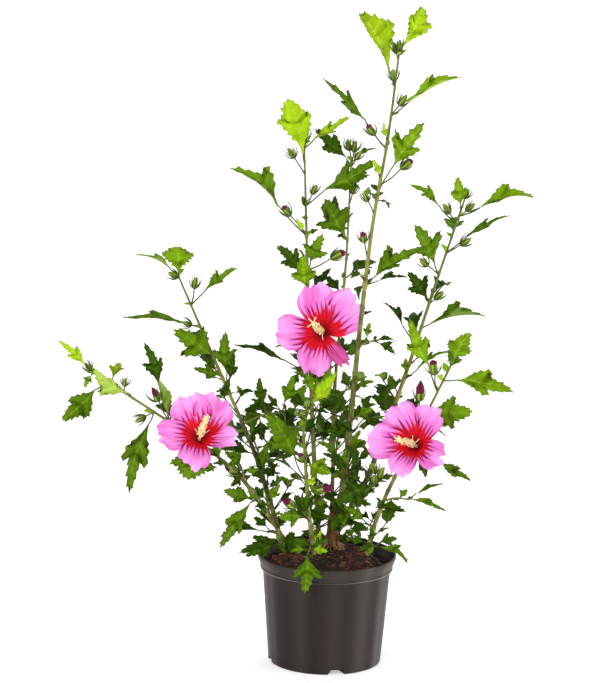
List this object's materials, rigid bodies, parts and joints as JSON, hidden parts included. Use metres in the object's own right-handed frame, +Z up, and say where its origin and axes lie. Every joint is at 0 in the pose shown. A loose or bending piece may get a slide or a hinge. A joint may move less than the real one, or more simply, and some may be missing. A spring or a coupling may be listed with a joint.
{
  "type": "potted rose of sharon shrub",
  "caption": "Young rose of sharon shrub in a round nursery pot, with slender upright stems, toothed lobed leaves and open pink blooms with red eyes.",
  "frame": {"origin": "on the ground under the middle of the pot's flat underside", "axes": "+Z up, -Y towards the front of the plant, +X to its right as seen from the front"},
  "size_m": [0.6456, 0.357, 0.915],
  "materials": {
    "pot": "satin dark warm grey moulded plastic",
    "soil": "rough dark bark mix",
    "trunk_bark": "rough brown bark",
    "stem_bark": "smooth olive-khaki young bark",
    "foliage": "soft green leaves, lighter at the tips of the shoots",
    "petals": "soft pink petals with a deep red eye"
  },
  "bodies": {
    "root": {"bloom_centre": "petals", "bloom_left": "petals", "bloom_right": "petals", "foot_front": "foliage", "foot_left": "foliage", "foot_left_back": "foliage", "foot_right": "foliage", "pot": "pot", "rear_back": "foliage", "rear_back_left": "foliage", "rear_high": "foliage", "rear_left": "foliage", "rear_right": "foliage", "shoot_back": "foliage", "shoot_back_left": "foliage", "shoot_far_left": "foliage", "shoot_front": "foliage", "shoot_left": "foliage", "shoot_low_right": "foliage", "shoot_right": "foliage", "shoot_tall": "foliage", "side_back": "foliage", "side_back_left": "foliage", "side_centre": "foliage", "side_centre_low": "foliage", "side_far_left": "foliage", "side_far_left_low": "foliage", "side_far_left_out": "foliage", "side_front_low": "foliage", "side_left_inner": "foliage", "side_left_low": "foliage", "side_low_right": "foliage", "side_low_right_foot": "foliage", "side_low_right_mid": "foliage", "side_tall_base": "foliage", "side_tall_foot": "foliage", "side_tall_low": "foliage", "side_tall_mid": "foliage", "soil": "soil", "stem_back": "stem_bark", "stem_back_left": "stem_bark", "stem_far_left": "stem_bark", "stem_front": "stem_bark", "stem_left": "stem_bark", "stem_low_right": "stem_bark", "stem_right": "stem_bark", "stem_tall": "stem_bark", "trunk": "trunk_bark"}
  },
  "joints": []
}
